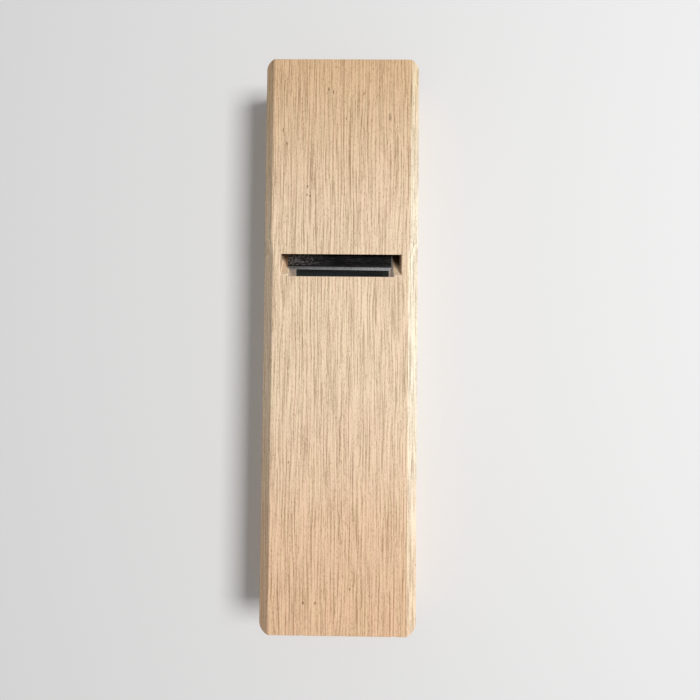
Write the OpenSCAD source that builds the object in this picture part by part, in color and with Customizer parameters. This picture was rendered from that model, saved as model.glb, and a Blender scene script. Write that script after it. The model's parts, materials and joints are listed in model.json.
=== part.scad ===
// Japanese hand plane: a low oak block with its blade, chipbreaker and retaining pin.
// X runs along the block, towards the long leading end. Y runs across it. Z is up from the sole.
// The origin is in the middle of the sole. The blade leans back over the short head end.

/* [Wooden body] */
// Length along the grain
body_len = 290; // [250:1:330]
// Width across the grain
body_w = 79; // [76:0.5:95]
// Height from the sole to the top face
body_h = 36; // [32:0.5:40]
// Radius of the upright corners at the head end
head_corner_r = 3; // [1:0.5:6]
// Radius of the upright corners at the leading end
tail_corner_r = 4; // [1:0.5:6]
// Chamfer on the long top arrises
top_chamfer = 3; // [1:0.5:5]
// Chamfer on the top arris of the leading end
tail_chamfer = 3; // [1:0.5:6]
// Chamfer on the top arris of the head end, where the mallet strikes
strike_chamfer = 6; // [2:0.5:9]
// Chamfer on the sole's long arrises behind the mouth
head_sole_chamfer = 4.3; // [1:0.1:5]
// Chamfer on the sole's long arrises from the mouth forwards
sole_chamfer = 5.2; // [5:0.1:6]
// Length over which the one sole chamfer runs out into the other
chamfer_runout = 8; // [2:1:20]

/* [Throat] */
// Distance from the head end to the lower edge of the blade's bed
mouth_back = 100.5; // [92:0.5:120]
// Slope of the bed from the sole, where 38.66 degrees is the usual rise of 8 in 10
bed_angle = 38.66; // [35:0.01:43]
// Opening left in front of the cutting edge when the edge is level with the sole
mouth_gap = 0.7; // [0.3:0.1:3]
// Height of the steep wall just above the mouth
lip_h = 8; // [4:0.5:14]
// Slope of that steep wall, from the sole
lip_angle = 70; // [60:1:85]
// Slope of the chip ramp above it, from the sole
ramp_angle = 60; // [50:1:75]
// Depth of the side grooves that hold the blade
groove_depth = 3.75; // [2.5:0.25:4.5]
// Depth of the eased arris round the top of the throat
throat_ease = 1.2; // [0.4:0.2:2.5]
// Length of that arris past the top of the chip ramp
ramp_ease = 1.7; // [0.4:0.1:4]

/* [Blade] */
// Length from the cutting edge to the head
blade_len = 105; // [90:1:120]
// Width at the head
blade_head_w = 60; // [59:0.5:62]
// Width just above the ground ears
blade_w = 58.6; // [57:0.2:59]
// Thickness at the cutting edge
edge_t = 6.5; // [5.5:0.1:7.5]
// Thickness at the head, which makes the blade a wedge
head_t = 9; // [8:0.1:10]
// Main bevel angle
bevel_angle = 28; // [25:0.5:32]
// Angle of the honed secondary bevel
hone_angle = 32; // [32:0.5:38]
// Width of the honed secondary bevel
hone_w = 1.45; // [0.5:0.05:2.5]
// Radius of the grinding that narrows the ears
ear_grind_r = 46; // [30:1:70]
// Cut-off corners of the cutting edge
edge_dub = 1.2; // [0.4:0.2:2]
// Crown radius of the struck head
head_crown_r = 140; // [90:5:250]
// Cut-off corners of the head
head_corner = 7; // [3:0.5:12]
// Chamfer round the struck head
head_ease = 1.2; // [0.5:0.1:2.5]
// Thickness of the hard steel layer
steel_t = 1.2; // [1:0.1:2]
// Length of the hard steel layer
steel_len = 62; // [50:1:75]
// Depth of the hollow ground into the steel face
hollow_depth = 0.55; // [0.3:0.05:0.8]
// Width of that hollow
hollow_w = 44; // [36:1:48]
// Flat land left between the hollow and the cutting edge
hollow_land = 3.5; // [2:0.5:8]
// Length of the steel layer left past the hollow's upper end
hollow_end = 7; // [4:0.5:12]
// How far the blade is drawn back from its cutting position
blade_back = 3.9; // [0.5:0.1:12]
// Knock out of square, turned about the top of the grooves, in degrees
blade_skew = 0.7; // [-0.7:0.1:0.7]

/* [Chipbreaker] */
// Length from its front edge to its head
chip_len = 88; // [76:1:92]
// Thickness of the plate
chip_t = 3.2; // [2.6:0.1:4]
// Front bevel angle
chip_bevel = 27; // [22:1:35]
// Steep bevel that turns the shaving
chip_hone_angle = 55; // [45:1:65]
// Height of that steep bevel
chip_hone_h = 0.45; // [0.2:0.05:0.8]
// How far the front edge sits behind the cutting edge
chip_back = 1.5; // [0.5:0.1:5]
// Drop of the bent ears that stand on the blade
ear_drop = 1.9; // [1.2:0.1:2.6]
// Length of each bent ear along the side
ear_len = 15; // [10:1:20]
// Width of each bent ear along the head
ear_w = 13; // [8:1:18]
// Thickness of the chipbreaker's hard steel layer
chip_steel_t = 0.9; // [0.6:0.1:1.2]
// Length of the chipbreaker's hard steel layer
chip_steel_len = 34; // [20:1:45]
// Depth of the hollow ground under the chipbreaker
chip_hollow_depth = 0.4; // [0.2:0.05:0.5]

/* [Retaining pin] */
// Diameter of the pin across the throat
pin_d = 5.5; // [4:0.5:7]
// Distance up the blade at which the pin bears on the chipbreaker
pin_reach = 33; // [28:0.5:36]
// Depth of the pin's ends below the body's sides
pin_inset = 0.4; // [0:0.1:2]

/* [Clearances] */
// Gap between the blade and its bed
seat_gap = 0.05; // [0.02:0.01:0.2]
// Gap between the blade and the grooves' upper faces when it is driven home
wedge_gap = 0.06; // [0.04:0.01:0.2]
// Side play of the blade's head end in the grooves
side_play = 0.5; // [0.5:0.1:1]
// How much narrower than the throat the cutting edge is, on each side
edge_play = 0.25; // [0.1:0.05:1]
// Side play of the chipbreaker in the throat
chip_play = 0.95; // [0.95:0.05:2]
// Gap under the pin when everything is driven home
pin_gap = 0.1; // [0.05:0.05:0.5]
// Gap between the chipbreaker and the blade
chip_gap = 0.03; // [0.02:0.01:0.1]
// Deepest cut: how far the driven blade stands below the sole
deep_cut = 0.1; // [0:0.05:0.3]
// Nearest that the chipbreaker comes to the cutting edge
chip_near = 0.5; // [0.2:0.1:0.5]

/* [Hidden] */
$fn = 96;

// Overshoot of a cutter past the face that it cuts
over = 2;
// Reach of the blocks that trim a shape to one side of a plane
trim = 200;
// Slope of a hollow's bank next to its land, and the steps across half of its section
bank_angle = 6;
hollow_steps = 6;

wedge_angle = atan((head_t - edge_t) / blade_len);
face_angle = bed_angle + wedge_angle;

throat_w = blade_head_w + 2 * side_play - 2 * groove_depth;
groove_w = blade_head_w + 2 * side_play;
edge_w = throat_w - 2 * edge_play;
chip_w = throat_w - 2 * chip_play;

// Unit vectors in the X-Z plane: square to the bed, and up the blade's steel face
bed_normal = [sin(bed_angle), cos(bed_angle)];
face_up = [-cos(face_angle), sin(face_angle)];
face_normal = [sin(face_angle), cos(face_angle)];

// The bed's lower edge, and the cutting edge when drawn back by a distance from level with the sole
mouth_x = -body_len / 2 + mouth_back;
function edge_at(back) = [
    mouth_x + (edge_t + seat_gap) / sin(bed_angle) - back * cos(bed_angle),
    back * sin(bed_angle)
];
mouth_front = edge_at(0)[0] + mouth_gap;
deepest = -deep_cut / sin(bed_angle);

// The chipbreaker's plate leans away from the blade's face, because its ears stand on it
chip_lean = asin(ear_drop / chip_len);
// Length along the plate that the two front bevels take up
chip_bevel_run = chip_hone_h / tan(chip_hone_angle) + (chip_t - chip_hone_h) / tan(chip_bevel);

// The pin's centre stands off the plate's top when blade and chipbreaker are both driven home
chip_up = [-cos(face_angle + chip_lean), sin(face_angle + chip_lean)];
chip_normal = [sin(face_angle + chip_lean), cos(face_angle + chip_lean)];
pin_at = edge_at(deepest) + chip_near * face_up + chip_gap * face_normal
    + pin_reach * chip_up + (chip_t + pin_gap + pin_d / 2) * chip_normal;

// Where the blade pivots when it is knocked out of square
skew_pivot = body_h / sin(bed_angle);

// Draws a side outline, given in X and Z, across a width
module across(width) {
    rotate([90, 0, 0])
        linear_extrude(height = width, center = true)
            children();
}

// The blade's own frame: X down the slope to the cutting edge, Z square to the bed, with the
// origin on the blade's back, under the cutting edge
module blade_frame() {
    edge = edge_at(blade_back);
    translate([edge[0] - edge_t * bed_normal[0], 0, edge[1] - edge_t * bed_normal[1]])
        rotate([0, bed_angle, 0])
            translate([-skew_pivot, 0, 0])
                rotate([0, 0, blade_skew])
                    translate([skew_pivot, 0, 0])
                        children();
}

// The same with its origin on the cutting edge and Z square to the steel face
module face_frame() {
    translate([0, 0, edge_t])
        rotate([0, wedge_angle, 0])
            children();
}

// A shallow hollow as a wheel grinds it, sunk into the face below Z = 0. Its section is a
// parabola. It runs from a bank at x = 0 to a round end, along -X.
module ground_hollow(width, length, depth) {
    half = width / 2;
    bowl = [for (i = [0 : hollow_steps])
        let (share = i / hollow_steps)
        [half * share, -depth * (1 - share * share)]];
    far_side = [for (i = [hollow_steps : -1 : 1]) [-bowl[i][0], bowl[i][1]]];
    intersection() {
        translate([half - length, 0, 0]) {
            rotate([0, 0, 90])
                rotate_extrude(angle = 180)
                    polygon(concat(bowl, [[half, over], [0, over]]));
            rotate([90, 0, 90])
                linear_extrude(height = length)
                    polygon(concat(far_side, bowl, [[half, over], [-half, over]]));
        }
        rotate([0, -bank_angle, 0])
            translate([-2 * length, -width, 0])
                cube([2 * length, 2 * width, trim]);
    }
}

// Outline of the block seen from above, with its rounded corners
module body_outline() {
    hx = body_len / 2;
    hy = body_w / 2;
    for (side = [-1, 1]) {
        translate([-hx + head_corner_r, side * (hy - head_corner_r)])
            circle(r = head_corner_r);
        translate([hx - tail_corner_r, side * (hy - tail_corner_r)])
            circle(r = tail_corner_r);
    }
    translate([-hx + head_corner_r, -hy])
        square([body_len - head_corner_r - tail_corner_r, body_w]);
    translate([-hx, -hy + head_corner_r])
        square([head_corner_r + over, body_w - 2 * head_corner_r]);
    translate([hx - tail_corner_r - over, -hy + tail_corner_r])
        square([tail_corner_r + over, body_w - 2 * tail_corner_r]);
}

// Removes the sole's long arris on the +Y side: a narrow chamfer behind the mouth that runs out
// into a wide one in front of it
module sole_arris() {
    far = body_len / 2 + over;
    narrow = head_sole_chamfer / sqrt(2);
    wide = sole_chamfer / sqrt(2);
    translate([0, body_w / 2, 0])
        rotate([45, 0, 0])
            rotate([90, 0, 0])
                linear_extrude(height = 2 * sole_chamfer, center = true)
                    polygon([
                        [-far, narrow], [mouth_x - chamfer_runout, narrow],
                        [mouth_x, wide], [far, wide],
                        [far, -over], [-far, -over]
                    ]);
}

// Removes a straight arris of a given chamfer, along an edge that lies on the Y axis
module end_arris(chamfer) {
    rotate([0, 45, 0])
        cube([chamfer * sqrt(2), body_w + 2 * over, chamfer * sqrt(2)], center = true);
}

// Removes a straight arris along an edge that lies on the X axis
module side_arris(chamfer) {
    rotate([45, 0, 0])
        cube([body_len + 2 * over, chamfer * sqrt(2), chamfer * sqrt(2)], center = true);
}

// Where the bed, the chip ramp and the lip below it meet a height
function bed_x(z) = mouth_x - z / tan(bed_angle);
function ramp_x(z) = lip_x(lip_h) + (z - lip_h) / tan(ramp_angle);
function lip_x(z) = mouth_front + z / tan(lip_angle);

// Where the grooves' upper face meets a height, for the blade driven home
function groove_face_x(z) =
    let (start = edge_at(deepest) + wedge_gap * face_normal)
    start[0] - (z - start[1]) / tan(face_angle);

// The throat between the cheeks: bed behind, steep lip and chip ramp in front
module throat() {
    top = body_h + over;
    across(throat_w)
        polygon([
            [bed_x(-over), -over], [bed_x(top), top],
            [ramp_x(top), top], [lip_x(lip_h), lip_h], [lip_x(-over), -over]
        ]);
}

// The eased arris round the top of the throat, in front of the grooves, mitred at its corners
module throat_arris() {
    top = body_h + over;
    low = body_h - throat_ease - over;
    back_x = groove_face_x(body_h) - over;
    slope = (ramp_ease + throat_ease / tan(ramp_angle)) / throat_ease;
    eased_x = ramp_x(body_h) + ramp_ease;
    half_top = throat_w / 2 + throat_ease + over;
    half_low = throat_w / 2 - over;
    intersection() {
        across(throat_w + 2 * (throat_ease + over))
            polygon([
                [back_x, low], [eased_x - slope * (body_h - low), low],
                [eased_x + slope * over, top], [back_x, top]
            ]);
        translate([back_x, 0, 0])
            rotate([90, 0, 90])
                linear_extrude(height = body_len)
                    polygon([
                        [-half_low, low], [half_low, low], [half_top, top], [-half_top, top]
                    ]);
    }
}

// The two side grooves and the full width of the bed, as one slot across
module blade_slot() {
    top = body_h + over;
    across(groove_w)
        polygon([
            [bed_x(-over), -over], [bed_x(top), top],
            [groove_face_x(top), top], [groove_face_x(-over), -over]
        ]);
}

module pin_hole() {
    translate([pin_at[0], 0, pin_at[1]])
        rotate([90, 0, 0])
            cylinder(h = body_w + 2 * over, d = pin_d, center = true);
}

// The oak block
module body() {
    color("burlywood")
        difference() {
            linear_extrude(height = body_h)
                body_outline();
            throat();
            throat_arris();
            blade_slot();
            pin_hole();
            for (side = [0, 1])
                mirror([0, side, 0]) {
                    sole_arris();
                    translate([0, body_w / 2, body_h])
                        side_arris(top_chamfer);
                }
            translate([-body_len / 2, 0, body_h])
                end_arris(strike_chamfer);
            translate([body_len / 2, 0, body_h])
                end_arris(tail_chamfer);
        }
}

// The steel rod across the throat, pressed into both cheeks
module retaining_pin() {
    color("dimgray")
        translate([pin_at[0], 0, pin_at[1]])
            rotate([90, 0, 0])
                cylinder(h = body_w - 2 * pin_inset, d = pin_d, center = true);
}

// Outline of the blade seen square to its back
module blade_outline() {
    intersection() {
        difference() {
            polygon([
                [0, edge_w / 2 - edge_dub], [-edge_dub, edge_w / 2],
                [-edge_dub, blade_w / 2], [-blade_len, blade_head_w / 2],
                [-blade_len, -blade_head_w / 2], [-edge_dub, -blade_w / 2],
                [-edge_dub, -edge_w / 2], [0, -edge_w / 2 + edge_dub]
            ]);
            for (side = [-1, 1])
                translate([-edge_dub, side * (edge_w / 2 + ear_grind_r)])
                    circle(r = ear_grind_r, $fn = 180);
        }
        translate([head_crown_r - blade_len, 0])
            circle(r = head_crown_r, $fn = 360);
        rotate(45)
            square(sqrt(2) * (blade_len + blade_head_w / 2 - head_corner), center = true);
    }
}

// Side outline of the blade: edge, honed bevel, main bevel, back, struck head, steel face
module blade_section() {
    hone = hone_angle - wedge_angle;
    main = bevel_angle - wedge_angle;
    hone_end = [-hone_w * cos(hone), edge_t - hone_w * sin(hone)];
    polygon([
        [0, edge_t],
        hone_end,
        [hone_end[0] - hone_end[1] / tan(main), 0],
        [-blade_len + head_ease, 0],
        [-blade_len, head_ease],
        [-blade_len, head_t - head_ease],
        [-blade_len + head_ease, head_t - head_ease * tan(wedge_angle)]
    ]);
}

// The whole blade, iron and steel together
module blade_form() {
    difference() {
        intersection() {
            across(blade_head_w + over)
                blade_section();
            translate([0, 0, -over])
                linear_extrude(height = head_t + 2 * over)
                    blade_outline();
        }
        face_frame()
            translate([-hollow_land, 0, 0])
                ground_hollow(hollow_w, steel_len - hollow_land - hollow_end, hollow_depth);
    }
}

// The space that the blade's hard steel layer fills, with an arched upper end
module steel_layer() {
    face_frame()
        intersection() {
            translate([-steel_len, -blade_head_w, -steel_t])
                cube([steel_len + over, 2 * blade_head_w, steel_t + over]);
            translate([head_crown_r - steel_len, 0, 0])
                cylinder(h = 2 * (steel_t + over), r = head_crown_r, center = true, $fn = 360);
        }
}

module blade_iron() {
    color("dimgray")
        blade_frame()
            difference() {
                blade_form();
                steel_layer();
            }
}

module blade_steel() {
    color("silver")
        blade_frame()
            intersection() {
                blade_form();
                steel_layer();
            }
}

// The chipbreaker's own frame: its front edge at the origin, its underside on Z = 0, and the
// plate along -X
module chip_frame() {
    blade_frame()
        face_frame()
            translate([-chip_back, 0, chip_gap])
                rotate([0, chip_lean, 0])
                    children();
}

// Side outline of the chipbreaker's plate
module chip_section() {
    polygon([
        [0, 0],
        [-chip_hone_h / tan(chip_hone_angle), chip_hone_h],
        [-chip_bevel_run, chip_t],
        [-chip_len, chip_t],
        [-chip_len, 0]
    ]);
}

// Distance from the plate's corner to the ear's slanting fold line
function fold_in() = ear_len * ear_w / sqrt(ear_len * ear_len + ear_w * ear_w);

// Region outside a line that lies a distance inside the plate's corner, beside the fold on +Y
module ear_region(inside) {
    translate([-chip_len, chip_w / 2])
        rotate(atan2(ear_w, ear_len))
            translate([-trim, -inside])
                square([2 * trim, trim]);
}

// The corner of the plate folded down until its tip stands on the blade
module bent_ear() {
    slope = atan(ear_drop / fold_in());
    intersection() {
        translate([-chip_len, chip_w / 2, 0])
            rotate([0, 0, atan2(ear_w, ear_len)])
                translate([0, -fold_in(), 0])
                    rotate([-slope, 0, 0])
                        translate([-trim / 2, -fold_in(), 0])
                            cube([trim, trim, chip_t]);
        translate([0, 0, -ear_drop - over])
            linear_extrude(height = ear_drop + over + chip_t)
                intersection() {
                    ear_region(fold_in() + over);
                    chip_outline();
                }
    }
}

// Outline of the chipbreaker seen square to its plate
module chip_outline() {
    intersection() {
        translate([-chip_len, -chip_w / 2])
            square([chip_len, chip_w]);
        translate([head_crown_r - chip_len, 0])
            circle(r = head_crown_r, $fn = 360);
    }
}

// The flat plate with its front bevels and ground hollow, iron and steel together. The hollow
// leaves a land at each end.
module chip_plate() {
    hollow_len = chip_len - ear_len - 2 * hollow_land;
    difference() {
        intersection() {
            across(chip_w + over)
                chip_section();
            translate([0, 0, -over])
                linear_extrude(height = chip_t + 2 * over)
                    difference() {
                        chip_outline();
                        ear_region(fold_in());
                        mirror([0, 1, 0])
                            ear_region(fold_in());
                    }
        }
        mirror([0, 0, 1])
            translate([-hollow_land, 0, 0])
                ground_hollow(hollow_w, hollow_len, chip_hollow_depth);
    }
}

// The space that the chipbreaker's hard steel layer fills
module chip_steel_layer() {
    translate([-chip_steel_len, -chip_w, -over])
        cube([chip_steel_len + over, 2 * chip_w, chip_steel_t + over]);
}

module chipbreaker_iron() {
    color("gray")
        chip_frame() {
            difference() {
                chip_plate();
                chip_steel_layer();
            }
            bent_ear();
            mirror([0, 1, 0])
                bent_ear();
        }
}

module chipbreaker_steel() {
    color("lightgray")
        chip_frame()
            intersection() {
                chip_plate();
                chip_steel_layer();
            }
}

body();
retaining_pin();
blade_iron();
blade_steel();
chipbreaker_iron();
chipbreaker_steel();
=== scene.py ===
"""Finishes the solids of a Japanese hand plane: oak, forged iron, honed steel and a plain stage."""

import json
import math

import bmesh
import bpy
from bpy.props import FloatProperty, FloatVectorProperty, PointerProperty
from mathutils import Euler, Matrix, Vector
from mathutils.bvhtree import BVHTree


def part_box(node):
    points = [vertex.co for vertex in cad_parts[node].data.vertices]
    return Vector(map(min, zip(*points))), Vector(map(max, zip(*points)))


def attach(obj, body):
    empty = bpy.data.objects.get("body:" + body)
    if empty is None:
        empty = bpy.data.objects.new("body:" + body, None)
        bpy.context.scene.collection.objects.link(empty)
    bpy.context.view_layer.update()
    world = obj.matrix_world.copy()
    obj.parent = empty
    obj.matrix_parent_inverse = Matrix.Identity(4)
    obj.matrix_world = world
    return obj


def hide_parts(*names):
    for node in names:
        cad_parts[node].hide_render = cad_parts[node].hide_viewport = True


bl_info = {
    "name": "Japanese Hand Plane",
    "version": (1, 0, 0),
    "blender": (4, 5, 0),
    "location": "3D Viewport > Sidebar > Hand Plane",
    "description": "Finishes the solids of a Japanese hand plane and sets up its stage",
    "category": "Add Mesh",
}

MM = 0.001

# Faces above this size, in square metres, are flat, and smaller ones can be facets of a curve
FACET = 200e-6

# Turns at an edge, in degrees: below FLAT_TURN two faces are one flat face, up to CURVE_TURN they are
# facets of a curve, between ARRIS_TURN and KEEN_TURN their arris is rounded, and from BREAK_TURN the
# shading breaks
FLAT_TURN = 0.5
CURVE_TURN = 20
ARRIS_TURN = 25
BREAK_TURN = 40
KEEN_TURN = 130

# Corners this close are one, and an edge this close to a neighbouring solid lies on it
WELDED = 0.001 * MM
TOUCHING = 0.02 * MM

# How far the main bevels' faces lean from straight up towards the leading end, in degrees
BLADE_BEVEL = 192
CHIPBREAKER_BEVEL = 68

# The floor fades out between these shares of its side, away from the middle
FLOOR_FADE = (0.12, 0.3)

# How far inside the block's outline the shade on the floor behind starts to fade, and where it ends
SHADE_INSETS = (8 * MM, 4 * MM)

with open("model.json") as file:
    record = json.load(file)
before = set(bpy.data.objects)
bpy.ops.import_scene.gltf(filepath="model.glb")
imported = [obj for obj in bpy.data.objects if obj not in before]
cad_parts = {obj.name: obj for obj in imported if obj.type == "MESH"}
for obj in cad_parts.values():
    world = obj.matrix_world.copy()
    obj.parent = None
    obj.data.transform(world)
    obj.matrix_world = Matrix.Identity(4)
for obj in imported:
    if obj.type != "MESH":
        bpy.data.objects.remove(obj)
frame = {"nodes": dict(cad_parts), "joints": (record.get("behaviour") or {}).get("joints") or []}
NODES = frame["nodes"]
AXES = {joint["name"]: Vector(joint["axis"]) for joint in frame["joints"]}
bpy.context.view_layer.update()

# Along the block towards its leading end, across it, and up from the sole
ALONG = Vector((1, 0, 0))
ACROSS = Vector((0, 1, 0))
UP = Vector((0, 0, 1))

# Where the lamps aim: the middle of the sole, and just under the middle of the block's top
SOLE_MIDDLE = Vector((0, 0, 0))
UNDER_TOP = Vector((0, 0, 30 * MM))

# Up the bed, up the blade's steel face, and square out of that face
BED_UP = AXES["blade_slide"]
FACE_UP = AXES["chipbreaker_slide"].normalized()
FACE_OUT = ACROSS.cross(FACE_UP).normalized()

# The cutting edge and the block's highest corner, in metres, and the pin's middle, in millimetres
EDGE = Vector((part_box("blade_steel")[1].x, 0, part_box("blade_steel")[0].z))
BLOCK_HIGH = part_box("body")[1]
PIN_MIDDLE = tuple((a + b) / 2 / MM for a, b in zip(*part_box("retaining_pin")))

# The tree's pith, in millimetres, runs along the block above its top, so the sole faces the bark
PITH = (0, 5, 130)

# Dark specks on the sole: place along the block and across it, half the length and half the width,
# in millimetres
SPECKS = (
    (-129.2, 7, 1.2, 0.5), (-127.8, 4.6, 1.4, 0.5), (-127, -11, 1.2, 0.4), (-114, -2, 1.0, 0.4),
    (-108, 30, 1.6, 0.4), (-101, 28, 1.4, 0.4), (-79, 17.2, 1.3, 0.5), (-74.8, 17.4, 0.7, 0.6),
    (-74.2, 16, 0.7, 0.6), (122, -6, 0.9, 0.5), (129, 11, 0.9, 0.6), (129, 17, 1.1, 0.7),
    (60, 25, 0.9, 0.4),
)

# Soft dents in the sole, most of them near the mouth, in the same terms
DENTS = (
    (-49, -6, 1.6, 3.2), (-48, -14, 1.3, 2.8), (-47.5, -22, 1.8, 2.4), (-52, 9, 1.5, 2.0),
    (16, -20, 1.4, 1.2),
)

# A surface starts to count as a side where this share of its direction is across the block, and
# counts in full at the second share
SIDEWAYS = (0.8, 0.95)

# Across the block, where the painted sheen on one chamfer starts and is full, in millimetres
SHEEN_ACROSS = (30, 36)

# Above the sole, where the painted sheen starts to fade and where it has ended, in millimetres
SHEEN_TOP = (6, 10)

# Away from the pin's middle, where its stain starts to fade and where it has ended, in millimetres
PIN_STAIN = (2.6, 4.0)

# Across the blade, where the bevel's bright flecks start and where they are full, in millimetres
FLECKED_SIDE = (2, 26)

# Below the level of the edge, where the hollow's look starts and where it is full, in millimetres
HOLLOW_DEPTH = (0.03, 0.12)

# Up the bed, where the steel starts to keep its scale and where it keeps the most, in millimetres
UNGROUND = (70, 84)

# Marks and painted shade on the block: the middle of each and half its extent, in millimetres
STAIN = ((-114.7, -24.3, 0), (2.6, 1.0, 2))
ARRIS_DIRT = ((-127, -35, 0), (9, 0.5, 2))
# Painted shade on the throat's two walls, and a painted shadow in the groove on the -Y side
THROAT_SHADE = ((-38, -26.75, 7), (17, 1.5, 21))
CHEEK_SHADE = ((-38, 26.75, 24), (19, 1.5, 26))
GROOVE_SHADOW = ((-46, -30.5, 10), (11, 6.5, 11))
SPLINTER = ((-34.3, 27.1, 0), (1.5, 1.0, 1))

# Chips knocked out of the block's arrises: place and half extent in millimetres, turn in degrees
CHIPS = (
    ((133.9, 34.6, -0.1), (1.4, 0.7, 0.6), (0, 0, 12)),
    ((145.0, 17.2, 0.1), (0.7, 1.3, 0.6), (10, 0, 0)),
    ((145.1, -1.6, 0.0), (0.6, 0.9, 0.6), (0, 20, 0)),
    ((145.0, -27.6, 0.1), (0.9, 1.6, 0.7), (-8, 0, 25)),
    ((140.1, -35.4, 0.7), (2.6, 0.5, 0.5), (20, 0, 6)),
    ((-34.9, 27.0, 0.0), (1.5, 0.8, 0.7), (0, 15, 38)),
    ((-145.0, -22.0, 29.6), (0.8, 1.8, 0.8), (0, 0, 0)),
    ((-142.0, 8.0, 33.2), (1.3, 2.2, 0.6), (0, 45, 10)),
    ((-139.2, -9.0, 36.0), (0.9, 1.7, 0.5), (0, 0, 15)),
    ((-118.0, 36.6, 36.0), (2.4, 0.6, 0.6), (0, 0, 4)),
    ((71.0, -36.5, 36.1), (1.7, 0.6, 0.5), (0, 0, -6)),
    ((142.2, 24.0, 36.0), (0.7, 1.5, 0.5), (0, 0, 0)),
    ((103.0, 39.5, 33.1), (1.9, 0.5, 0.6), (0, 0, 0)),
)


class OakLook(bpy.types.PropertyGroup):
    """Sizes and colours of the oak block"""

    arris: FloatProperty(
        name="Arris", description="Rounding of the block's arrises", default=0.35 * MM, unit="LENGTH"
    )
    pale: FloatVectorProperty(
        name="Pale wood", description="Colour of the palest wood", default=(0.98, 0.775, 0.545),
        subtype="COLOR",
    )
    dark: FloatVectorProperty(
        name="Dark wood", description="Colour of the darkest grain", default=(0.47, 0.33, 0.195),
        subtype="COLOR",
    )
    line_width: FloatProperty(
        name="Line width", description="Width of a line of the grain", default=0.27 * MM, unit="LENGTH"
    )
    line_length: FloatProperty(
        name="Line length", description="Length of a line of the grain", default=36 * MM, unit="LENGTH"
    )
    head_tint: FloatVectorProperty(
        name="Head end", description="Tint of the handled wood at the head end",
        default=(0.815, 0.71, 0.58), subtype="COLOR",
    )
    tail_tint: FloatVectorProperty(
        name="Leading end", description="Tint of the wood at the leading end",
        default=(0.95, 0.825, 0.745), subtype="COLOR",
    )
    end_grain: FloatVectorProperty(
        name="End grain", description="Tint of the end grain", default=(0.86, 0.77, 0.66),
        subtype="COLOR",
    )
    rings: FloatVectorProperty(
        name="Rings", description="Tint of the dark growth rings", default=(0.84, 0.77, 0.69),
        subtype="COLOR",
    )
    rosy: FloatVectorProperty(
        name="Rosy bands", description="Tint of the rosy bands along the grain",
        default=(1.01, 0.972, 1.01), subtype="COLOR",
    )
    side_rays: FloatVectorProperty(
        name="Side rays", description="Tint of the ray flecks on the sides",
        default=(1.10, 1.12, 1.13), subtype="COLOR",
    )
    end_rays: FloatVectorProperty(
        name="End rays", description="Tint of the rays across the end grain",
        default=(1.22, 1.24, 1.26), subtype="COLOR",
    )
    rubbed: FloatVectorProperty(
        name="Rubbed arrises", description="Tint of the chamfers and the arrises",
        default=(1.03, 1.08, 1.12), subtype="COLOR",
    )
    # Painted sheen: lightens the chamfer beside the sole on the side that faces the lamp below
    sapwood: FloatVectorProperty(
        name="Sapwood", description="Tint of the pale arris beside the sole",
        default=(1.12, 1.28, 1.42), subtype="COLOR",
    )
    grooves: FloatVectorProperty(
        name="Grooves", description="Tint of the cut wood over the blade's sides",
        default=(0.95, 1.03, 1.14), subtype="COLOR",
    )
    splinter: FloatVectorProperty(
        name="Splinter", description="Tint of the torn wood at a corner of the mouth",
        default=(1.22, 1.3, 1.42), subtype="COLOR",
    )
    # Tints the real specks, stains and smudges, and also the painted shade in the throat
    dirt: FloatVectorProperty(
        name="Dirt", description="Tint of specks, stains and grime", default=(0.34, 0.29, 0.24),
        subtype="COLOR",
    )
    # Painted shadow: this tint darkens one groove as if the sole's edge shaded it
    soot: FloatVectorProperty(
        name="Soot", description="Tint of the black grime in one groove", default=(0.12, 0.09, 0.07),
        subtype="COLOR",
    )
    roughness: FloatProperty(
        name="Roughness", description="Roughness of the planed surface", default=0.55, subtype="FACTOR"
    )


class MetalLook(bpy.types.PropertyGroup):
    """Sizes and colours of the blade, the chipbreaker and the pin"""

    arris: FloatProperty(
        name="Arris", description="Rounding of the metal's arrises", default=0.2 * MM, unit="LENGTH"
    )
    scale_colour: FloatVectorProperty(
        name="Forge scale", description="Colour of the scale left by forging",
        default=(0.055, 0.053, 0.057), subtype="COLOR",
    )
    bright_scale: FloatVectorProperty(
        name="Bright scale", description="Tint of the scale's brighter patches",
        default=(1.6, 1.6, 1.58), subtype="COLOR",
    )
    pits: FloatVectorProperty(
        name="Pits", description="Tint of the pits in the scale", default=(0.55, 0.54, 0.55),
        subtype="COLOR",
    )
    dressed: FloatVectorProperty(
        name="Dressed iron", description="Colour of the chipbreaker's iron",
        default=(0.12, 0.119, 0.122), subtype="COLOR",
    )
    bevel: FloatVectorProperty(
        name="Bevel", description="Colour of the blade's ground bevel", default=(0.022, 0.022, 0.024),
        subtype="COLOR",
    )
    iron: FloatVectorProperty(
        name="Ground iron", description="Colour of the ground iron", default=(0.36, 0.36, 0.365),
        subtype="COLOR",
    )
    filing: FloatVectorProperty(
        name="Filing", description="Colour of the dark file marks on the sides",
        default=(0.17, 0.165, 0.165), subtype="COLOR",
    )
    steel: FloatVectorProperty(
        name="Honed steel", description="Colour of the honed steel", default=(0.56, 0.57, 0.59),
        subtype="COLOR",
    )
    strokes: FloatVectorProperty(
        name="Honing strokes", description="Tint of the strokes on the honed steel",
        default=(0.72, 0.72, 0.74), subtype="COLOR",
    )
    hollow: FloatVectorProperty(
        name="Hollow", description="Colour of the steel's ground hollow", default=(0.36, 0.365, 0.38),
        subtype="COLOR",
    )
    grinding: FloatVectorProperty(
        name="Grinding", description="Tint of the grinding marks in the hollow",
        default=(0.62, 0.62, 0.64), subtype="COLOR",
    )
    rust: FloatVectorProperty(
        name="Rust", description="Colour of the faint rust", default=(0.13, 0.075, 0.045),
        subtype="COLOR",
    )
    pin_haze: FloatVectorProperty(
        name="Pin haze", description="Tint of the dull patches on the pin", default=(0.7, 0.66, 0.62),
        subtype="COLOR",
    )


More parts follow.
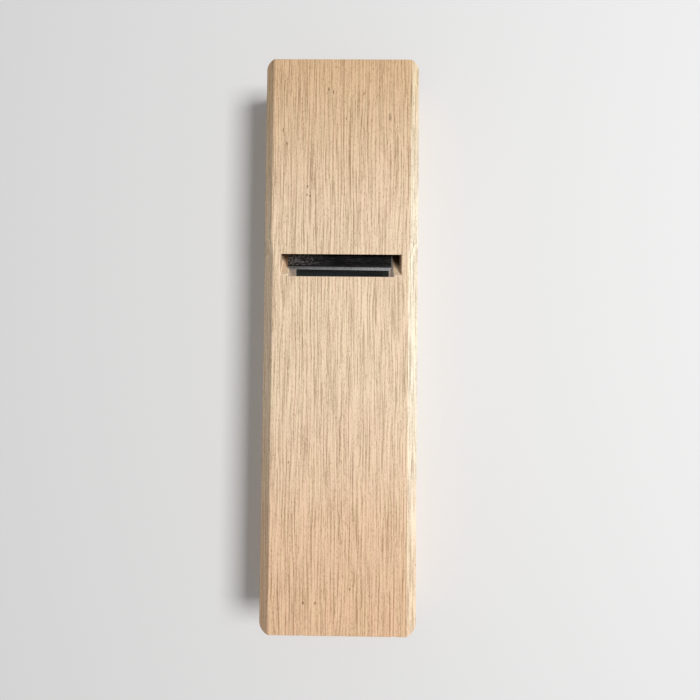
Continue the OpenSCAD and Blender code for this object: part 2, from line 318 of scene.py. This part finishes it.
class StageLook(bpy.types.PropertyGroup):
    """Camera, lamps and floor"""

    camera_place: FloatVectorProperty(
        name="Camera place", description="Where the camera stands",
        default=(0.01093, -0.00746, -0.23388), subtype="TRANSLATION", precision=5,
    )
    camera_turn: FloatVectorProperty(
        name="Camera turn", description="How the camera is turned",
        default=(math.radians(181.753), math.radians(-0.562), math.radians(-90.567)), subtype="EULER",
    )
    lens: FloatProperty(
        name="Lens", description="Focal length in millimetres", default=24.0, unit="CAMERA"
    )
    floor_size: FloatProperty(
        name="Floor size", description="Side of the floor", default=3.0, unit="LENGTH"
    )
    floor_gap: FloatProperty(
        name="Floor gap", description="Gap that keeps a floor clear of the wood", default=0.3 * MM,
        unit="LENGTH",
    )
    floor_colour: FloatVectorProperty(
        name="Floor", description="Colour of the floor", default=(0.84, 0.84, 0.84), subtype="COLOR"
    )
    floor_shade: FloatVectorProperty(
        name="Floor shade", description="Colour of the floor behind, where the block lies on it",
        default=(0.07, 0.10, 0.125), subtype="COLOR",
    )
    sky_colour: FloatVectorProperty(
        name="Background", description="Colour of the background", default=(0.86, 0.86, 0.86),
        subtype="COLOR",
    )
    sky_light: FloatProperty(
        name="Sky light", description="Strength of the even light from all round", default=0.33,
        subtype="FACTOR",
    )
    window_place: FloatVectorProperty(
        name="Window place", description="Where the lamp stands that lights the sole from one side",
        default=(-0.1, -0.86, -1.34), subtype="TRANSLATION",
    )
    window_size: FloatProperty(
        name="Window size", description="Side of the lamp that lights the sole", default=0.6,
        unit="LENGTH",
    )
    window_power: FloatProperty(
        name="Window power", description="Power of the lamp that lights the sole", default=20.3,
        unit="POWER",
    )
    overhead_place: FloatVectorProperty(
        name="Overhead place", description="Where the lamp above the block stands",
        default=(0.45, -0.05, 1.6), subtype="TRANSLATION",
    )
    overhead_size: FloatProperty(
        name="Overhead size", description="Side of the lamp above the block", default=1.2,
        unit="LENGTH",
    )
    overhead_power: FloatProperty(
        name="Overhead power", description="Power of the lamp above the block", default=21.0,
        unit="POWER",
    )


class Wire:
    """A socket of a material, so that shader maths reads as plain Python."""

    def __init__(self, tree, socket):
        self.tree = tree
        self.socket = socket

    def maths(self, operation, *values):
        node = self.tree.nodes.new("ShaderNodeMath")
        node.operation = operation
        for slot, value in zip(node.inputs, values):
            plug(self.tree, slot, value)
        return Wire(self.tree, node.outputs[0])

    def __add__(self, other):
        return self.maths("ADD", self, other)

    def __sub__(self, other):
        return self.maths("SUBTRACT", self, other)

    def __rsub__(self, other):
        return self.maths("SUBTRACT", other, self)

    def __mul__(self, other):
        return self.maths("MULTIPLY", self, other)

    def __abs__(self):
        return self.maths("ABSOLUTE", self)

    __radd__ = __add__
    __rmul__ = __mul__


def plug(tree, slot, value):
    """Links a wire to a socket, or sets the socket to a plain value."""
    if isinstance(value, Wire):
        tree.links.new(value.socket, slot)
    else:
        slot.default_value = value


class Finish:
    """A material, or the world, while it is made."""

    def __init__(self, owner):
        owner.use_nodes = True
        self.tree = owner.node_tree
        self.tree.nodes.clear()

    def node(self, kind, settings=None, sockets=None, output=0):
        """Adds a node, makes its settings first, fills its sockets and gives one of its outputs."""
        node = self.tree.nodes.new("ShaderNode" + kind)
        for key, value in (settings or {}).items():
            setattr(node, key, value)
        for key, value in (sockets or {}).items():
            plug(self.tree, node.inputs[key], value)
        return Wire(self.tree, node.outputs[output]) if node.outputs else None

    def vector(self, operation, a, b, output=0):
        """Works on two vectors."""
        return self.node("VectorMath", {"operation": operation}, {0: a, 1: b}, output)

    def blend(self, factor, a, b, mode="MIX"):
        """Mixes two colours."""
        settings = {"data_type": "RGBA", "blend_type": mode, "clamp_factor": True}
        return self.node("Mix", settings, {0: factor, 6: a, 7: b}, output=2)

    def tint(self, colour, factor, tint):
        """Multiplies a colour by a tint, as far as the factor says."""
        return self.blend(factor, colour, tint, "MULTIPLY")

    def step(self, value, low, high):
        """Rises smoothly from 0 at low to 1 at high."""
        settings = {"interpolation_type": "SMOOTHSTEP"}
        return self.node("MapRange", settings, {"Value": value, "From Min": low, "From Max": high})

    def place(self):
        """The place on the piece, in millimetres."""
        spot = self.node("TexCoord", output="Object")
        return self.vector("MULTIPLY", spot, (1 / MM, 1 / MM, 1 / MM))

    def outward(self):
        """The direction that the piece's surface faces."""
        return self.node("TexCoord", output="Normal")

    def along(self, vector, direction):
        """How far a vector goes in a direction."""
        return self.vector("DOT_PRODUCT", vector, tuple(direction), output="Value")

    def facing(self, outward, direction, low, high):
        """Rises from 0 to 1 as the surface turns to face a direction."""
        return self.step(self.along(outward, direction), low, high)

    def noise(self, place, size, detail=2.0, rough=0.5, shift=0.0):
        """Noise from 0 to 1, whose patches have a size in millimetres along X, Y and Z."""
        stretched = self.vector("DIVIDE", self.vector("ADD", place, (shift, shift, shift)), size)
        sockets = {"Vector": stretched, "Scale": 1.0, "Detail": detail, "Roughness": rough}
        return self.node("TexNoise", {"noise_dimensions": "3D"}, sockets, output=0)

    def maximum(self, a, b):
        """The greater of two values."""
        return a.maths("MAXIMUM", a, b)

    def spot(self, place, middle, size, ragged):
        """Falls from 1 at the middle of a spot to 0 at its ragged rim. Its size is half its extent."""
        offset = self.vector("DIVIDE", self.vector("SUBTRACT", place, middle), size)
        away = self.vector("LENGTH", offset, (0, 0, 0), output="Value")
        return 1 - self.step(away + ragged, 0.45, 1.0)

    def marks(self, place, table, ragged):
        """Spots on the sole, from a table of places and half sizes in millimetres."""
        depth = 2
        rows = (((x, y, 0), (long, wide, depth)) for x, y, long, wide in table)
        return sum(self.spot(place, middle, size, ragged) for middle, size in rows)

    def bump(self, height, depth):
        """A relief whose full height has a depth in millimetres."""
        return self.node("Bump", None, {"Height": height, "Strength": 1.0, "Distance": depth * MM})

    def surface(self, sockets):
        """Ends the material with its shader."""
        shader = self.node("BsdfPrincipled", None, sockets)
        self.node("OutputMaterial", None, {"Surface": shader})


def grain_lines(finish, place, bent, look):
    """Lines of the grain: how much they lighten the wood, their relief, and their dark ray ends."""
    length, width = look.line_length / MM, look.line_width / MM
    fibre = (length, width, 1.3 * width)
    beside = finish.vector("ADD", bent, (0, 1.9 * width, 1.9 * width))
    lines = finish.noise(bent, fibre, 1.0) - 0.5
    edged = lines - finish.noise(beside, fibre, 1.0) + 0.5
    breaks = finish.noise(bent, (length / 5, 1.2 * width, 1.6 * width), 1.0, shift=31) - 0.5
    ray_ends = finish.step(lines * 0.6 + breaks * 0.4, 0.04, 0.13)
    streaks = finish.noise(bent, (length / 3, 1.1 * width, 1.5 * width), 1.0, shift=57) - 0.5
    pores = finish.step(finish.noise(bent, (1.5, 0.3, 0.4), 1.0, shift=71), 0.5, 0.7)

    # Rows of lines about 1.8 mm apart across the sole, which wander and come and go
    wander = finish.noise(place, (30, 5, 6.5), 1.0, shift=101)
    phase = finish.along(bent, (0, 1, 1.2)) * 3.5 + wander * 11
    rows = phase.maths("SINE", phase)
    dashes = finish.noise(bent, (length / 4, 3 * width, 4 * width), 1.0, shift=113)
    grain = streaks * 0.7 - edged * 1.7 - ray_ends * 0.5 - pores * 0.5 - rows * (dashes * 0.55 - 0.07)
    return grain, lines * 0.5 - ray_ends * 0.35 - pores * 0.4, ray_ends


def grown(finish, colour, place, bent, sides, ends, look):
    """Tints wood with growth rings, rosy bands and rays, and gives the rays on the sides as well."""
    from_pith = finish.vector("MULTIPLY", finish.vector("SUBTRACT", bent, PITH), (0.01, 1, 1))
    radius = finish.vector("LENGTH", from_pith, (0, 0, 0), output="Value")
    rings = finish.noise(finish.node("CombineXYZ", None, {"X": radius}), (1.7, 1, 1), 2.0, 0.6)
    ring_shade = finish.step(rings, 0.4, 0.7) * (0.05 + ends * 0.7)
    colour = finish.tint(colour, ring_shade, (*look.rings, 1))
    rosy = finish.step(finish.noise(bent, (18, 2.4, 3), 2.0, 0.6, shift=97), 0.35, 0.65)
    colour = finish.tint(colour, rosy, (*look.rosy, 1))
    flecks = finish.step(finish.noise(place, (5, 6, 2.5), 2.0, shift=83), 0.55, 0.68) * sides
    colour = finish.tint(colour, flecks * 0.4, (*look.side_rays, 1))
    rays = finish.step(finish.noise(place, (60, 0.5, 16), 1.0, shift=91), 0.58, 0.66) * ends
    return finish.tint(colour, rays * 0.4, (*look.end_rays, 1)), flecks


def handled(finish, colour, place, ends, chamfers, look):
    """Tints the block towards its two ends, on the end grain and on its chamfers, and paints a sheen on
    one chamfer beside the sole.
    """
    along_block = finish.along(place, ALONG)
    tail = BLOCK_HIGH.x / MM
    head_part = finish.step(-1 * along_block, 40, tail + 25)
    tail_part = finish.step(along_block, 10, tail)
    colour = finish.tint(colour, head_part, (*look.head_tint, 1))
    colour = finish.tint(colour, tail_part, (*look.tail_tint, 1))
    colour = finish.tint(colour, ends, (*look.end_grain, 1))
    colour = finish.tint(colour, chamfers * 0.3, (*look.rubbed, 1))
    # Painted sheen along the chamfer beside the sole, on the side of the lamp below
    near_arris = finish.step(finish.along(place, -ACROSS), *SHEEN_ACROSS)
    above_sole = finish.step(finish.along(place, UP), *SHEEN_TOP)
    return finish.tint(colour, chamfers * near_arris * (1 - above_sole), (*look.sapwood, 1))


def soiled(finish, colour, place, outward, grooves, ragged, specks, look):
    """Tints wood with specks, stains and smudges, paints shade on the walls of the throat and a shadow
    in one groove, and tints where a splinter is torn off.
    """
    stain = finish.spot(place, *STAIN, ragged)
    arris_dirt = finish.spot(place, *ARRIS_DIRT, ragged)
    smudges = finish.step(finish.noise(place, (6, 14, 6), 4.0, 0.6, shift=41), 0.35, 0.75)
    bed_dirt = finish.facing(outward, FACE_OUT, 0.985, 0.995) * smudges
    pin_offset = finish.vector("MULTIPLY", finish.vector("SUBTRACT", place, PIN_MIDDLE), (1, 0, 1))
    pin_away = finish.vector("LENGTH", pin_offset, (0, 0, 0), output="Value")
    pin_stain = 1 - finish.step(pin_away + ragged * 1.5, *PIN_STAIN)
    # Painted shade on the two walls of the throat
    throat_shade = finish.spot(place, *THROAT_SHADE, ragged * 0.6)
    throat_shade = throat_shade * finish.facing(outward, ACROSS, 0.5, 0.9)
    cheek_shade = finish.spot(place, *CHEEK_SHADE, ragged * 0.4)
    cheek_shade = cheek_shade * finish.facing(outward, -ACROSS, 0.5, 0.9)

    # Specks, stains, ink on the bed, the pin's stain and the painted shade in the throat darken the
    # wood together
    grime_and_shade = finish.maximum(specks * 0.8 + stain * 0.6 + arris_dirt * 0.55, bed_dirt * 0.6)
    throat_shade = finish.maximum(throat_shade * 0.95, cheek_shade * 0.6)
    grime_and_shade = finish.maximum(grime_and_shade, finish.maximum(pin_stain * 0.45, throat_shade))
    colour = finish.tint(colour, grime_and_shade, (*look.dirt, 1))
    # Painted shadow on the upper face of the groove on the -Y side, as if cast by the sole's edge
    groove_shadow = finish.spot(place, *GROOVE_SHADOW, ragged * 0.3) * grooves
    colour = finish.tint(colour, groove_shadow, (*look.soot, 1))
    splinter = finish.spot(place, *SPLINTER, ragged)
    return finish.tint(colour, splinter * 0.8, (*look.splinter, 1))


def oak(look):
    """Planed oak with a fine grain, rays on the sides and ends, rings on the ends, and marks of use,
    with painted shade in the throat and a groove and painted sheen on one chamfer.
    """
    material = bpy.data.materials.new("planed_oak")
    finish = Finish(material)
    place = finish.place()
    outward = finish.outward()
    level = abs(finish.along(outward, UP))
    slope = abs(finish.along(outward, ALONG))
    sides = finish.step(abs(finish.along(outward, ACROSS)), *SIDEWAYS)
    ends = finish.step(slope, 0.35, 0.75)
    cut_across = finish.step(slope, 0.03, 0.35)
    chamfers = finish.step(level, 0.2, 0.4) * (1 - finish.step(level, 0.93, 0.99)) * (1 - ends)
    grooves = finish.facing(outward, -FACE_OUT, 0.9, 0.98)

    # The grain sways a little
    sway = finish.noise(place, (70, 14, 14), 1.0) - 0.5
    swayed = finish.node("CombineXYZ", None, {"Y": sway * 2.2, "Z": sway * 1.6})
    bent = finish.vector("ADD", place, swayed)
    grain, fine, ray_ends = grain_lines(finish, place, bent, look)
    tone = 0.86 + grain * (1 - cut_across * 0.75)
    colour = finish.blend(tone, (*look.dark, 1), (*look.pale, 1))
    colour, flecks = grown(finish, colour, place, bent, sides, ends, look)
    colour = handled(finish, colour, place, ends, chamfers, look)
    colour = finish.tint(colour, grooves, (*look.grooves, 1))

    ragged = finish.noise(place, (0.6, 0.6, 0.6), 2.0, shift=13) - 0.5
    specks = finish.marks(place, SPECKS, ragged)
    colour = soiled(finish, colour, place, outward, grooves, ragged, specks, look)
    dents = finish.marks(place, DENTS, 0)
    relief = fine * (1 - cut_across * 0.7) - dents * 1.2 - specks * 0.6
    finish.surface({
        "Base Color": colour,
        "Roughness": look.roughness + ray_ends * 0.12 - flecks * 0.10 + ends * 0.15 + chamfers * 0.4,
        "Specular IOR Level": 0.2,
        "Normal": finish.bump(relief, 0.06),
    })
    return material


def forged(name, look, scale_colour, bevel_out, bevel_colour, head_at):
    """Dark forge scale with a little rust, a ground bevel, filed sides and a bright struck head."""
    material = bpy.data.materials.new(name)
    finish = Finish(material)
    place = finish.place()
    outward = finish.outward()
    hammered = finish.noise(place, (8, 8, 8), 1.0, shift=3)
    patches = finish.step(finish.noise(place, (14, 14, 14), 3.0, 0.6, shift=29), 0.38, 0.66)
    pitted = finish.noise(place, (0.8, 0.8, 0.8), 3.0, 0.65, shift=19)
    rust = finish.step(finish.noise(place, (5, 5, 5), 5.0, 0.72, shift=47), 0.55, 0.70)
    scratches = finish.noise(place, (0.22, 7, 0.22), 2.0, 0.6, shift=61)
    filing = finish.noise(place, (0.25, 5, 2.5), 2.0, 0.6, shift=67)

    bevel = finish.facing(outward, bevel_out, 0.95, 0.985)
    sides = finish.step(abs(finish.along(outward, ACROSS)), *SIDEWAYS)
    worn = finish.step(finish.along(place, BED_UP) + hammered * 2, head_at - 0.5, head_at + 1.5)

    # Scale with pits and rust, filed sides, and the bevel with its bright lines and flecks
    scale = finish.tint((*scale_colour, 1), patches * 0.6, (*look.bright_scale, 1))
    scale = finish.tint(scale, finish.step(pitted, 0.45, 0.70), (*look.pits, 1))
    scale = finish.blend(rust * 0.4, scale, (*look.rust, 1))
    file_marks = finish.step(filing, 0.40, 0.62) * 0.6
    filed = finish.blend(file_marks, (*look.iron, 1), (*look.filing, 1))
    filed = finish.blend(rust * 0.4, filed, (*look.rust, 1))
    bright_lines = finish.step(scratches, 0.52, 0.74) * 0.35
    ground = finish.blend(bright_lines, (*bevel_colour, 1), (*look.iron, 1))
    flecks = finish.step(finish.noise(place, (0.9, 1.6, 0.9), 3.0, 0.8, shift=5), 0.43, 0.62)
    near_side = finish.step(finish.along(place, ACROSS), *FLECKED_SIDE)
    ground = finish.blend(flecks * near_side, ground, (*look.iron, 1))

    colour = finish.blend(sides, scale, filed)
    colour = finish.blend(worn * 0.8, colour, (*look.iron, 1))
    colour = finish.blend(bevel, colour, ground)
    machined = finish.maximum(finish.maximum(bevel, sides), worn)
    relief = (hammered * 0.75 + pitted * 0.25) * (1 - machined * 0.8) + scratches * bevel * 0.05
    finish.surface({
        "Base Color": colour,
        "Metallic": 0.9 - rust * (1 - machined) * 0.5,
        "Roughness": 0.46 + pitted * 0.2 + rust * 0.15 - machined * 0.16,
        "Normal": finish.bump(relief, 0.35),
    })
    return material


def worn_iron(look):
    """Arrises of the iron, rubbed bright by hands and hammer."""
    material = bpy.data.materials.new("worn_iron")
    finish = Finish(material)
    place = finish.place()
    rubbing = finish.step(finish.noise(place, (7, 7, 7), 2.0, 0.5, shift=73), 0.3, 0.7)
    finish.surface({
        "Base Color": finish.blend(0.2 + rubbing * 0.4, (*look.scale_colour, 1), (*look.iron, 1)),
        "Metallic": 0.95,
        "Roughness": 0.5 - rubbing * 0.1,
        "Normal": finish.bump(finish.noise(place, (0.8, 0.8, 0.8), 2.0), 0.05),
    })
    return material


def ground_steel(look):
    """Ground and honed steel: a bright flat land round a duller hollow, and a dark main bevel."""
    material = bpy.data.materials.new("ground_steel")
    finish = Finish(material)
    place = finish.place()
    outward = finish.outward()
    # The hollow lies below the level of the edge, and the main bevel faces back and down
    face_level = EDGE.dot(FACE_OUT) / MM
    sunk = finish.step(face_level - finish.along(place, FACE_OUT), *HOLLOW_DEPTH)
    backwards = finish.facing(outward, -ALONG, 0.160, 0.185)
    main_bevel = backwards * finish.facing(outward, -UP, 0.9, 0.95)

    strokes = finish.noise(place, (0.12, 4, 0.12), 2.0, 0.6)
    grinding = finish.noise(place, (5, 0.16, 5), 2.0, 0.65, shift=37)
    haze = finish.noise(place, (6, 6, 6), 3.0, 0.6, shift=23)
    freckles = finish.step(finish.noise(place, (2.6, 2.6, 2.6), 3.0, 0.7, shift=53), 0.60, 0.72)
    stroke_marks = finish.step(strokes, 0.5, 0.7) * 0.5
    land = finish.tint((*look.steel, 1), stroke_marks, (*look.strokes, 1))
    hollow = finish.tint((*look.hollow, 1), finish.step(grinding, 0.42, 0.66), (*look.grinding, 1))
    dark_bevel = finish.blend(strokes * 0.15, (*look.bevel, 1), (*look.iron, 1))
    colour = finish.blend(sunk * (1 - main_bevel), land, hollow)
    colour = finish.blend(main_bevel, colour, dark_bevel)
    colour = finish.blend(freckles * 0.35, colour, (*look.rust, 1))

    # The steel keeps its scale near the blade's head
    unground = finish.step(finish.along(place, BED_UP) + haze * 4, *UNGROUND)
    colour = finish.blend(unground * 0.75, colour, (*look.scale_colour, 1))
    finish.surface({
        "Base Color": colour,
        "Metallic": 1.0,
        "Roughness": 0.24 + haze * 0.14 + sunk * 0.14 + freckles * 0.2,
        "Normal": finish.bump(strokes * (1 - sunk) + grinding * sunk * 2, 0.012),
    })
    return material


def drawn(look):
    """Dull drawn rod."""
    material = bpy.data.materials.new("drawn_rod")
    finish = Finish(material)
    place = finish.place()
    lines = finish.noise(place, (0.3, 12, 0.3), 2.0, 0.6)
    haze = finish.noise(place, (4, 9, 4), 2.0, shift=11)
    colour = finish.tint((*look.iron, 1), haze, (*look.pin_haze, 1))
    finish.surface({
        "Base Color": colour,
        "Metallic": 0.95,
        "Roughness": 0.36 + haze * 0.2,
        "Normal": finish.bump(lines, 0.02),
    })
    return material


def shared(maker, look):
    """A finish of the same name as its maker, made once for several pieces."""
    return bpy.data.materials.get(maker.__name__) or maker(look)


def tilted(angle):
    """The direction that leans from straight up towards the leading end by an angle in degrees."""
    return Vector((math.sin(math.radians(angle)), 0, math.cos(math.radians(angle))))


def reach(name):
    """How far up the bed a solid reaches, in millimetres."""
    return max(vertex.co.dot(BED_UP) for vertex in NODES[name].data.vertices) / MM


def solid_tree(name):
    """A search tree of a solid's surface."""
    mesh = NODES[name].data
    faces = [list(face.vertices) for face in mesh.polygons]
    return BVHTree.FromPolygons([vertex.co for vertex in mesh.vertices], faces)


def softened(node, name, radius, neighbours=(), worn_arrises=False):
    """A copy of a solid with rounded arrises, apart from keen edges and those that lie on a neighbour.
    Worn arrises take the piece's second material."""
    source = NODES[node].data
    mesh = bpy.data.meshes.new(name)
    mesh.from_pydata([v.co for v in source.vertices], [], [list(p.vertices) for p in source.polygons])
    work = bmesh.new()
    work.from_mesh(mesh)
    bmesh.ops.remove_doubles(work, verts=work.verts, dist=WELDED)
    bmesh.ops.dissolve_limit(
        work, angle_limit=math.radians(FLAT_TURN), use_dissolve_boundaries=False,
        verts=work.verts, edges=work.edges,
    )
    trees = [solid_tree(n) for n in neighbours]

    def turn(edge):
        return math.degrees(edge.calc_face_angle(0.0))

    def rounds(edge):
        middle = (edge.verts[0].co + edge.verts[1].co) / 2
        clear = all(tree.find_nearest(middle)[3] > TOUCHING for tree in trees)
        return ARRIS_TURN < turn(edge) < KEEN_TURN and clear

    for face in work.faces:
        curved = any(FLAT_TURN < turn(edge) < CURVE_TURN for edge in face.edges)
        face.smooth = face.calc_area() < FACET and curved
    made = bmesh.ops.bevel(
        work, geom=[edge for edge in work.edges if rounds(edge)], offset=radius, offset_type="OFFSET",
        segments=3, profile=0.5, affect="EDGES", clamp_overlap=False, loop_slide=True,
    )
    for face in made["faces"]:
        face.smooth = True
        face.material_index = 1 if worn_arrises else 0
    low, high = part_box(node)
    for vert in work.verts:
        vert.co = [min(max(value, a), b) for value, a, b in zip(vert.co, low, high)]
    for edge in work.edges:
        edge.smooth = turn(edge) < BREAK_TURN
    bmesh.ops.triangulate(work, faces=[f for f in work.faces if len(f.verts) > 4])
    work.to_mesh(mesh)
    work.free()
    piece = bpy.data.objects.new(name, mesh)
    bpy.context.scene.collection.objects.link(piece)
    return piece


def chipped(piece, chips):
    """Knocks small chips out of a piece. CHIPS says what each of them holds."""
    work = bmesh.new()
    for place, size, turn in chips:
        spot = Matrix.LocRotScale(
            Vector(place) * MM, Euler([math.radians(angle) for angle in turn]), Vector(size) * MM
        )
        bmesh.ops.create_icosphere(work, subdivisions=1, radius=1.0, matrix=spot)
    mesh = bpy.data.meshes.new("chips")
    work.to_mesh(mesh)
    work.free()
    cutter = bpy.data.objects.new("chips", mesh)
    bpy.context.scene.collection.objects.link(cutter)
    cut = piece.modifiers.new("Chips", "BOOLEAN")
    cut.operation = "DIFFERENCE"
    cut.solver = "EXACT"
    cut.object = cutter
    piece.data = bpy.data.meshes.new_from_object(
        piece.evaluated_get(bpy.context.evaluated_depsgraph_get())
    )
    piece.modifiers.clear()
    bpy.data.objects.remove(cutter)


def fit(piece, node, body, material):
    """Gives a piece its finish and its body, and hides the solid that it stands for."""
    piece.data.materials.append(material)
    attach(piece, body)
    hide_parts(node)


class PLANE_OT_block(bpy.types.Operator):
    """Makes the oak block"""

    bl_idname = "hand_plane.block"
    bl_label = "Oak block"

    def execute(self, context):
        look = context.scene.oak_look
        block = softened("body", "oak_block", look.arris)
        chipped(block, CHIPS)
        fit(block, "body", "block", oak(look))
        return {"FINISHED"}


class PLANE_OT_pin(bpy.types.Operator):
    """Finishes the retaining pin"""

    bl_idname = "hand_plane.pin"
    bl_label = "Retaining pin"

    def execute(self, context):
        look = context.scene.metal_look
        pin = softened("retaining_pin", "pin_rod", look.arris)
        fit(pin, "retaining_pin", "block", drawn(look))
        return {"FINISHED"}


class PLANE_OT_blade(bpy.types.Operator):
    """Makes the laminated blade"""

    bl_idname = "hand_plane.blade"
    bl_label = "Blade"

    def execute(self, context):
        look = context.scene.metal_look
        iron = softened("blade_iron", "blade_forging", 1.5 * look.arris, ["blade_steel"], True)
        finish = forged(
            "forged_blade", look, look.scale_colour, tilted(BLADE_BEVEL), look.bevel,
            reach("blade_iron"),
        )
        fit(iron, "blade_iron", "blade", finish)
        iron.data.materials.append(shared(worn_iron, look))
        steel = softened("blade_steel", "blade_edge_steel", look.arris / 2, ["blade_iron"])
        fit(steel, "blade_steel", "blade", shared(ground_steel, look))
        return {"FINISHED"}


class PLANE_OT_chipbreaker(bpy.types.Operator):
    """Makes the chipbreaker"""

    bl_idname = "hand_plane.chipbreaker"
    bl_label = "Chipbreaker"

    def execute(self, context):
        look = context.scene.metal_look
        iron = softened(
            "chipbreaker_iron", "chipbreaker_forging", look.arris, ["chipbreaker_steel"], True
        )
        finish = forged(
            "forged_chipbreaker", look, look.dressed, tilted(CHIPBREAKER_BEVEL), look.iron,
            reach("chipbreaker_iron"),
        )
        fit(iron, "chipbreaker_iron", "chipbreaker", finish)
        iron.data.materials.append(shared(worn_iron, look))
        steel = softened(
            "chipbreaker_steel", "chipbreaker_edge_steel", look.arris / 2, ["chipbreaker_iron"]
        )
        fit(steel, "chipbreaker_steel", "chipbreaker", shared(ground_steel, look))
        return {"FINISHED"}


def sheet(name, height, size, material):
    """A level square floor."""
    mesh = bpy.data.meshes.new(name)
    signs = ((-1, -1), (1, -1), (1, 1), (-1, 1))
    corners = [(x * size / 2, y * size / 2, height) for x, y in signs]
    mesh.from_pydata(corners, [], [(0, 1, 2, 3)])
    mesh.materials.append(material)
    floor = bpy.data.objects.new(name, mesh)
    bpy.context.scene.collection.objects.link(floor)


def floor_finish(name, look, behind):
    """Pale matt floor that shows from one side only, lets light through and fades out at a distance.
    The one under the sole shows from above. The one behind the block shows in views of the sole,
    through the first, and has painted shade where the block lies on it."""
    material = bpy.data.materials.new(name)
    finish = Finish(material)
    rays = finish.node("LightPath", output="Is Camera Ray")
    back = finish.node("NewGeometry", output="Backfacing")
    spot = finish.node("TexCoord", output="Object")
    away = finish.vector("LENGTH", spot, (0, 0, 0), output="Value")
    near = 1 - finish.step(away, *(share * look.floor_size for share in FLOOR_FADE))
    colour = (*look.floor_colour, 1)
    if behind:
        passed = finish.node("LightPath", output="Transparent Depth")
        shown = rays * back * finish.step(passed, 0.25, 0.75)
        # Painted shade on the floor behind, inside the block's outline
        across = abs(finish.along(spot, ACROSS))
        under = 1 - finish.step(across, *(BLOCK_HIGH.y - inset for inset in SHADE_INSETS))
        ahead = abs(finish.along(spot, ALONG))
        under = under * (1 - finish.step(ahead, *(BLOCK_HIGH.x - inset for inset in SHADE_INSETS)))
        colour = finish.blend(under, colour, (*look.floor_shade, 1))
    else:
        glossy = finish.node("LightPath", output="Is Glossy Ray")
        glass = finish.node("LightPath", output="Is Transmission Ray")
        shown = (rays + glossy + glass) * (1 - back)
    matt = finish.node("BsdfDiffuse", None, {"Color": colour})
    clear = finish.node("BsdfTransparent")
    mixed = finish.node("MixShader", None, {0: shown * near, 1: clear, 2: matt})
    finish.node("OutputMaterial", None, {"Surface": mixed})
    return material


def lamp(name, place, aim, size, power):
    """A square soft lamp."""
    data = bpy.data.lights.new(name, "AREA")
    data.size = size
    data.energy = power
    light = bpy.data.objects.new(name, data)
    light.location = place
    light.rotation_euler = (Vector(aim) - Vector(place)).to_track_quat("-Z", "Y").to_euler()
    bpy.context.scene.collection.objects.link(light)


class PLANE_OT_stage(bpy.types.Operator):
    """Sets up the camera, the lamps and the floors"""

    bl_idname = "hand_plane.stage"
    bl_label = "Stage"

    def execute(self, context):
        look = context.scene.stage_look
        scene = context.scene
        scene.view_settings.view_transform = "Standard"

        camera = bpy.data.objects.new("camera", bpy.data.cameras.new("camera"))
        camera.location = look.camera_place
        camera.rotation_euler = Euler(look.camera_turn)
        camera.data.lens = look.lens
        camera.data.clip_start = 0.01
        scene.collection.objects.link(camera)
        scene.camera = camera

        sheet("floor", -look.floor_gap, look.floor_size, floor_finish("floor", look, False))
        top = BLOCK_HIGH.z + look.floor_gap
        sheet("floor_behind", top, look.floor_size, floor_finish("floor_behind", look, True))

        lamp("window", look.window_place, SOLE_MIDDLE, look.window_size, look.window_power)
        lamp("overhead", look.overhead_place, UNDER_TOP, look.overhead_size, look.overhead_power)

        world = bpy.data.worlds.new("background")
        scene.world = world
        sky = Finish(world)
        kinds = ("Camera", "Glossy", "Transmission")
        seen = sum(sky.node("LightPath", output="Is %s Ray" % kind) for kind in kinds)
        strength = look.sky_light + seen * (1 - look.sky_light)
        light = sky.node("Background", None, {"Color": (*look.sky_colour, 1), "Strength": strength})
        sky.node("OutputWorld", None, {"Surface": light})
        return {"FINISHED"}


class PLANE_PT_sidebar(bpy.types.Panel):
    """Lists the pieces and their looks"""

    bl_label = "Hand Plane"
    bl_space_type = "VIEW_3D"
    bl_region_type = "UI"
    bl_category = "Hand Plane"

    def draw(self, context):
        for look in (context.scene.oak_look, context.scene.metal_look, context.scene.stage_look):
            for name in look.__annotations__:
                self.layout.prop(look, name)
        for maker in MAKERS:
            self.layout.operator(maker.bl_idname)


LOOKS = {"oak_look": OakLook, "metal_look": MetalLook, "stage_look": StageLook}
MAKERS = (PLANE_OT_stage, PLANE_OT_block, PLANE_OT_pin, PLANE_OT_blade, PLANE_OT_chipbreaker)
CLASSES = (*LOOKS.values(), *MAKERS, PLANE_PT_sidebar)


def register():
    for kind in CLASSES:
        bpy.utils.register_class(kind)
    for name, kind in LOOKS.items():
        setattr(bpy.types.Scene, name, PointerProperty(type=kind))


def unregister():
    for name in LOOKS:
        delattr(bpy.types.Scene, name)
    for kind in reversed(CLASSES):
        bpy.utils.unregister_class(kind)


def main():
    register()
    bpy.ops.hand_plane.stage()
    bpy.ops.hand_plane.block()
    bpy.ops.hand_plane.pin()
    bpy.ops.hand_plane.blade()
    bpy.ops.hand_plane.chipbreaker()


if __name__ == "__main__":
    main()
